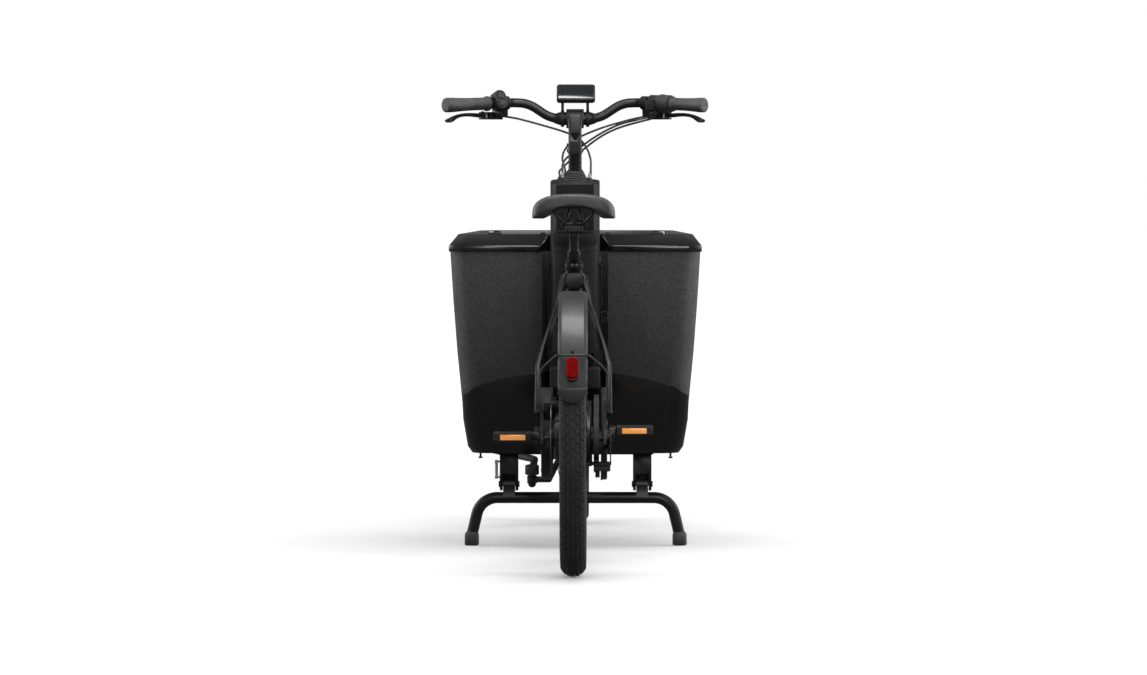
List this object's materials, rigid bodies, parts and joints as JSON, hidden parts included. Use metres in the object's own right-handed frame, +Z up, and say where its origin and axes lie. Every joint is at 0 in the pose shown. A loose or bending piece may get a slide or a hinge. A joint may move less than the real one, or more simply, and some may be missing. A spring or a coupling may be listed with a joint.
{
  "type": "cargo bicycle",
  "caption": "Front-loading family cargo bicycle with a deep child box between a steering mast and a small front wheel, belt drive with mid motor, and a centre stand.",
  "frame": {"origin": "on the ground, in the mid-plane, halfway along the bicycle's length", "axes": "+Y travel direction, +X rider's right, +Z up"},
  "size_m": [0.64, 2.6321, 1.1229],
  "materials": {
    "frame_black": "satin powder coat",
    "black_steel": "satin black",
    "bright_steel": "brushed",
    "black_alloy": "black anodised",
    "fender_grey": "satin dark grey paint",
    "red_lens": "gloss red",
    "matte_black": "fine matte grain",
    "gloss_black": "gloss",
    "foam": "mottled expanded foam",
    "tray": "smooth satin",
    "rubber": "matte",
    "tyre": "matte tread",
    "leather": "grained",
    "fabric": "woven"
  },
  "bodies": {
    "frame": {"main_frame": "frame_black", "rear_stays": "frame_black", "headset_bearings": "bright_steel", "drive_unit": "matte_black", "seat_clamp": "black_alloy", "rear_fender": "fender_grey", "rear_light": "red_lens", "rear_caliper": "black_alloy", "belt_guard": "matte_black", "drive_belt": "rubber", "column_housing": "matte_black", "box_shell": "foam", "box_tray": "tray", "box_rim": "gloss_black", "bench_cushion": "fabric", "stand_brackets": "black_steel", "stand_spring": "bright_steel", "fixings": "black_steel", "headlight": "gloss_black"},
    "battery": {"battery_pack": "matte_black"},
    "seat": {"seat_post": "black_alloy", "saddle_rails": "black_steel", "saddle": "leather"},
    "steering": {"steering_column": "black_alloy", "column_cap": "rubber", "stem": "black_alloy", "handlebar": "black_alloy", "grips": "rubber", "lever_clamps": "black_alloy", "shifter_housing": "matte_black", "display": "gloss_black", "remote": "matte_black", "hoses": "rubber", "pitman_arm": "black_steel"},
    "left_lever": {"left_brake_lever": "black_alloy"},
    "right_lever": {"right_brake_lever": "black_alloy"},
    "twist": {"twist_grip": "rubber"},
    "key_up": {"remote_key_up": "matte_black"},
    "key_down": {"remote_key_down": "matte_black"},
    "drag_link": {"drag_link": "black_alloy"},
    "fork": {"fork": "frame_black", "front_caliper": "black_alloy", "front_fender": "fender_grey"},
    "front_wheel": {"front_tyre": "tyre", "front_rim": "black_alloy", "front_spokes": "black_steel", "front_hub": "black_alloy", "front_rotor": "bright_steel"},
    "rear_wheel": {"rear_tyre": "tyre", "rear_rim": "black_alloy", "rear_spokes": "black_steel", "rear_hub": "black_alloy", "rear_rotor": "bright_steel"},
    "sprocket": {"rear_sprocket": "black_steel"},
    "crank": {"cranks": "black_alloy", "belt_ring": "black_alloy"},
    "left_pedal": {"left_pedal": "matte_black"},
    "right_pedal": {"right_pedal": "matte_black"},
    "stand": {"stand_tube": "black_steel", "stand_feet": "rubber"}
  },
  "joints": [
    {"name": "steering", "type": "hinge", "parent": "frame", "child": "steering", "pos_m": [0, -0.005, 0.19], "axis": [0, -0.2079, 0.9781], "range_deg": [-35, 35]},
    {"name": "fork_steer", "type": "hinge", "parent": "frame", "child": "fork", "pos_m": [0, 1.06, 0.264], "axis": [0, -0.2079, 0.9781], "range_deg": [-35, 35]},
    {"name": "drag_link_pivot", "type": "hinge", "parent": "steering", "child": "drag_link", "pos_m": [-0.105, -0.005, 0.19], "axis": [0, -0.2079, 0.9781], "range_deg": [-35, 35]},
    {"name": "front_wheel_spin", "type": "hinge", "parent": "fork", "child": "front_wheel", "pos_m": [0, 1.06, 0.264], "axis": [-1, 0, 0], "continuous": true},
    {"name": "rear_wheel_spin", "type": "hinge", "parent": "frame", "child": "rear_wheel", "pos_m": [0, -0.99, 0.313], "axis": [-1, 0, 0], "continuous": true},
    {"name": "crank_spin", "type": "hinge", "parent": "frame", "child": "crank", "pos_m": [0, -0.52, 0.303], "axis": [-1, 0, 0], "continuous": true},
    {"name": "rear_sprocket_spin", "type": "hinge", "parent": "frame", "child": "sprocket", "pos_m": [0, -0.99, 0.313], "axis": [-1, 0, 0], "continuous": true},
    {"name": "left_pedal_spin", "type": "hinge", "parent": "crank", "child": "left_pedal", "pos_m": [-0.144, -0.69, 0.303], "axis": [-1, 0, 0], "continuous": true},
    {"name": "right_pedal_spin", "type": "hinge", "parent": "crank", "child": "right_pedal", "pos_m": [0.144, -0.35, 0.303], "axis": [-1, 0, 0], "continuous": true},
    {"name": "left_brake_pull", "type": "hinge", "parent": "steering", "child": "left_lever", "pos_m": [-0.22152, -0.14436, 1.04797], "axis": [0, 0, 1], "range_deg": [0, 16], "stiffness_Nm_per_rad": 1.5, "springref_deg": -17.19},
    {"name": "right_brake_pull", "type": "hinge", "parent": "steering", "child": "right_lever", "pos_m": [0.22152, -0.14436, 1.04797], "axis": [0, 0, -1], "range_deg": [0, 16], "stiffness_Nm_per_rad": 1.5, "springref_deg": -17.19},
    {"name": "twist_shift", "type": "hinge", "parent": "steering", "child": "twist", "pos_m": [0.21542, -0.19048, 1.07627], "axis": [0.8382, -0.5443, -0.035], "range_deg": [-60, 60]},
    {"name": "key_up_press", "type": "slide", "parent": "steering", "child": "key_up", "axis": [-0.5104, 0.786, -0.3489], "range_m": [0, 0.001], "stiffness_N_per_m": 400, "springref_m": -0.002},
    {"name": "key_down_press", "type": "slide", "parent": "steering", "child": "key_down", "axis": [-0.5104, 0.786, -0.3489], "range_m": [0, 0.001], "stiffness_N_per_m": 400, "springref_m": -0.002},
    {"name": "stand_fold", "type": "hinge", "parent": "frame", "child": "stand", "pos_m": [0, 0.118, 0.151], "axis": [1, 0, 0], "range_deg": [-85, 0]},
    {"name": "seat_height", "type": "slide", "parent": "frame", "child": "seat", "axis": [0, -0.3584, 0.9336], "range_m": [-0.005, 0.08]},
    {"name": "battery_lift", "type": "slide", "parent": "frame", "child": "battery", "axis": [0, -0.2079, 0.9781], "range_m": [0, 0.12]}
  ],
  "couplings": [
    {"joint": "fork_steer", "follows": "steering", "ratio": 1},
    {"joint": "drag_link_pivot", "follows": "steering", "ratio": -1},
    {"joint": "rear_sprocket_spin", "follows": "crank_spin", "ratio": 2.0833}
  ]
}
